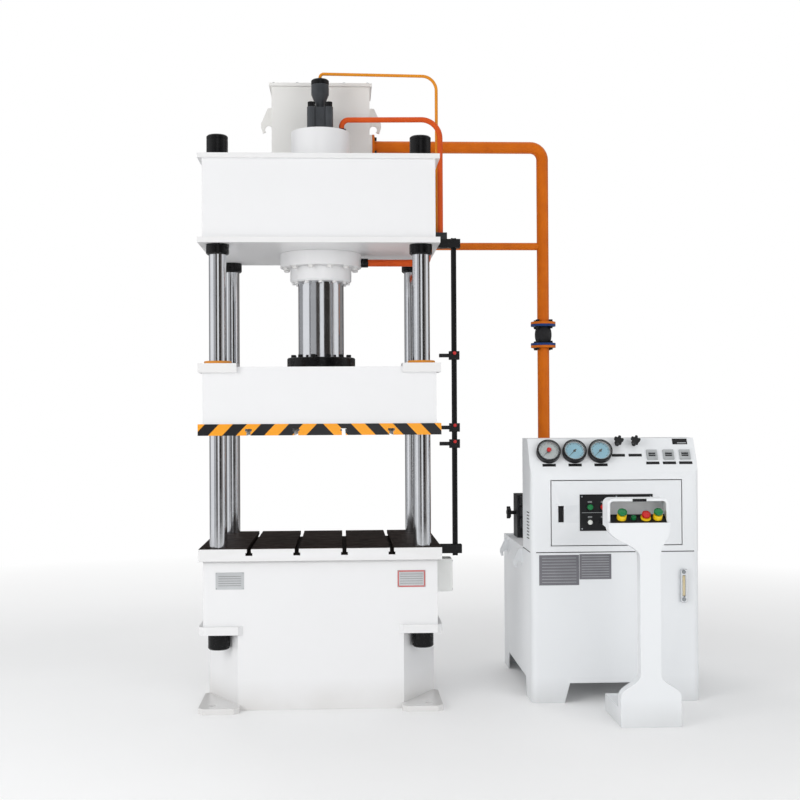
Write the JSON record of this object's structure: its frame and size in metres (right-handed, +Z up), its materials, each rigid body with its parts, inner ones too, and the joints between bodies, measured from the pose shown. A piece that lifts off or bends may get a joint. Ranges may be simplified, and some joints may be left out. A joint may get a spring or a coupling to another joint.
{
  "type": "hydraulic stamping press",
  "caption": "Hydraulic stamping press with a guided slide on round columns, a top cylinder, an oil power unit joined by orange pipes and a two-hand control pedestal",
  "frame": {"origin": "on the floor, on the press axis, midway between the four anchor holes", "axes": "+X to the operator's right, towards the power unit; +Y to the back; +Z up"},
  "size_m": [2.346, 1.4363, 3.0045],
  "materials": {
    "frame_paint": "gloss",
    "tank_paint": "satin",
    "unit_paint": "satin",
    "oiled_steel": "oiled",
    "chromed_steel": "polished",
    "blackened_steel": "black oxide",
    "bronze": "turned",
    "amber_wiper": "gloss",
    "grey_casting": "cast",
    "orange_paint": "gloss",
    "red_orange_paint": "gloss",
    "amber_paint": "gloss",
    "blue_paint": "gloss",
    "black_rubber": "matte",
    "black_plastic": "satin",
    "white_plastic": "satin",
    "yellow_plastic": "gloss",
    "green_plastic": "gloss",
    "red_plastic": "gloss",
    "black_paint": "satin",
    "steel_shaft": "turned",
    "needle_paint": "matte"
  },
  "bodies": {
    "frame": {"bed": "frame_paint", "table_plate": "oiled_steel", "columns": "chromed_steel", "column_nuts": "blackened_steel", "crown": "frame_paint", "main_cylinder": "frame_paint", "cylinder_gland": "frame_paint", "valve_block": "grey_casting", "valve_screws": "blackened_steel", "filling_valve": "grey_casting", "valve_cap": "blackened_steel", "upper_tank": "tank_paint", "upper_tank_lid": "tank_paint", "filling_pipe": "orange_paint", "joint_flanges": "blue_paint", "joint_ball": "black_rubber", "return_pipe": "orange_paint", "pressure_pipe": "red_orange_paint", "pilot_pipe": "amber_paint", "lower_port_pipe": "orange_paint", "pipe_unions": "blackened_steel", "side_manifold": "black_paint", "limit_rod": "blackened_steel", "limit_switches": "black_plastic", "terminal_box": "white_plastic", "oil_tank": "unit_paint", "console": "unit_paint", "gauge_cases": "black_plastic", "counters": "white_plastic", "oil_level_gauge": "chromed_steel", "motor": "black_paint", "pump_set": "grey_casting", "valve_manifold": "black_paint", "pedestal_post": "unit_paint", "pedestal_base": "unit_paint", "pedestal_head": "unit_paint", "button_strip": "black_plastic", "button_collars": "yellow_plastic"},
    "slide_body": {"slide": "frame_paint", "guide_bushes": "bronze", "wiper_rings": "amber_wiper", "ram_flange": "blackened_steel", "ram": "chromed_steel"},
    "door": {"console_door": "unit_paint", "control_panel": "black_plastic"},
    "handle": {"door_handle": "black_plastic"},
    "panel_start": {"panel_start_button": "green_plastic"},
    "panel_stop": {"panel_stop_button": "red_plastic"},
    "selector": {"panel_selector": "black_plastic"},
    "needle_1": {"gauge_needle_1": "needle_paint"},
    "needle_2": {"gauge_needle_2": "needle_paint"},
    "needle_3": {"gauge_needle_3": "needle_paint"},
    "throttle_left": {"star_knob_left": "black_plastic"},
    "throttle_right": {"star_knob_right": "black_plastic"},
    "relief_knob": {"hand_knob": "black_plastic"},
    "rotor": {"motor_rotor": "steel_shaft"},
    "palm_left": {"palm_button_left": "green_plastic"},
    "palm_right": {"palm_button_right": "green_plastic"},
    "stop": {"stop_button": "red_plastic"},
    "start": {"start_button": "green_plastic"}
  },
  "joints": [
    {"name": "slide_stroke", "type": "slide", "parent": "frame", "child": "slide_body", "axis": [0, 0, 1], "range_m": [-0.2, 0.27]},
    {"name": "door_swing", "type": "hinge", "parent": "frame", "child": "door", "pos_m": [1.66, -0.364, 0.8725], "axis": [0, 0, 1], "range_deg": [0, 35]},
    {"name": "handle_turn", "type": "hinge", "parent": "door", "child": "handle", "pos_m": [1.106, -0.361, 0.894], "axis": [-1, 0, 0], "range_deg": [0, 40]},
    {"name": "panel_start_press", "type": "slide", "parent": "door", "child": "panel_start", "axis": [0, 1, 0], "range_m": [0, 0.004], "stiffness_N_per_m": 600},
    {"name": "panel_stop_press", "type": "slide", "parent": "door", "child": "panel_stop", "axis": [0, 1, 0], "range_m": [0, 0.004], "stiffness_N_per_m": 600},
    {"name": "selector_turn", "type": "hinge", "parent": "door", "child": "selector", "pos_m": [1.301, -0.38, 0.83], "axis": [0, 1, 0], "range_deg": [-45, 45]},
    {"name": "throttle_left_turn", "type": "hinge", "parent": "frame", "child": "throttle_left", "pos_m": [1.385, -0.29831, 1.186], "axis": [0, -0.8716, 0.4903], "range_deg": [-720, 720]},
    {"name": "throttle_right_turn", "type": "hinge", "parent": "frame", "child": "throttle_right", "pos_m": [1.464, -0.29831, 1.186], "axis": [0, -0.8716, 0.4903], "range_deg": [-720, 720]},
    {"name": "relief_knob_turn", "type": "hinge", "parent": "frame", "child": "relief_knob", "pos_m": [1.002, 0.4, 0.817], "axis": [-1, 0, 0], "range_deg": [-720, 720]},
    {"name": "rotor_spin", "type": "hinge", "parent": "frame", "child": "rotor", "pos_m": [1.45, 0.4, 0.842], "axis": [1, 0, 0], "continuous": true},
    {"name": "needle_1_turn", "type": "hinge", "parent": "frame", "child": "needle_1", "pos_m": [1.056, -0.31969, 1.148], "axis": [0, -0.8716, 0.4903], "range_deg": [-270, 0], "stiffness_Nm_per_rad": 0.01},
    {"name": "needle_2_turn", "type": "hinge", "parent": "frame", "child": "needle_2", "pos_m": [1.177, -0.31969, 1.148], "axis": [0, -0.8716, 0.4903], "range_deg": [-270, 0], "stiffness_Nm_per_rad": 0.01},
    {"name": "needle_3_turn", "type": "hinge", "parent": "frame", "child": "needle_3", "pos_m": [1.298, -0.31969, 1.148], "axis": [0, -0.8716, 0.4903], "range_deg": [-270, 0], "stiffness_Nm_per_rad": 0.01},
    {"name": "palm_left_press", "type": "slide", "parent": "frame", "child": "palm_left", "axis": [0, 0.5241, -0.8517], "range_m": [0, 0.005], "stiffness_N_per_m": 800},
    {"name": "palm_right_press", "type": "slide", "parent": "frame", "child": "palm_right", "axis": [0, 0.5241, -0.8517], "range_m": [0, 0.005], "stiffness_N_per_m": 800},
    {"name": "stop_press", "type": "slide", "parent": "frame", "child": "stop", "axis": [0, 0.5241, -0.8517], "range_m": [0, 0.005], "stiffness_N_per_m": 800},
    {"name": "start_press", "type": "slide", "parent": "frame", "child": "start", "axis": [0, 0.5241, -0.8517], "range_m": [0, 0.004], "stiffness_N_per_m": 800}
  ]
}
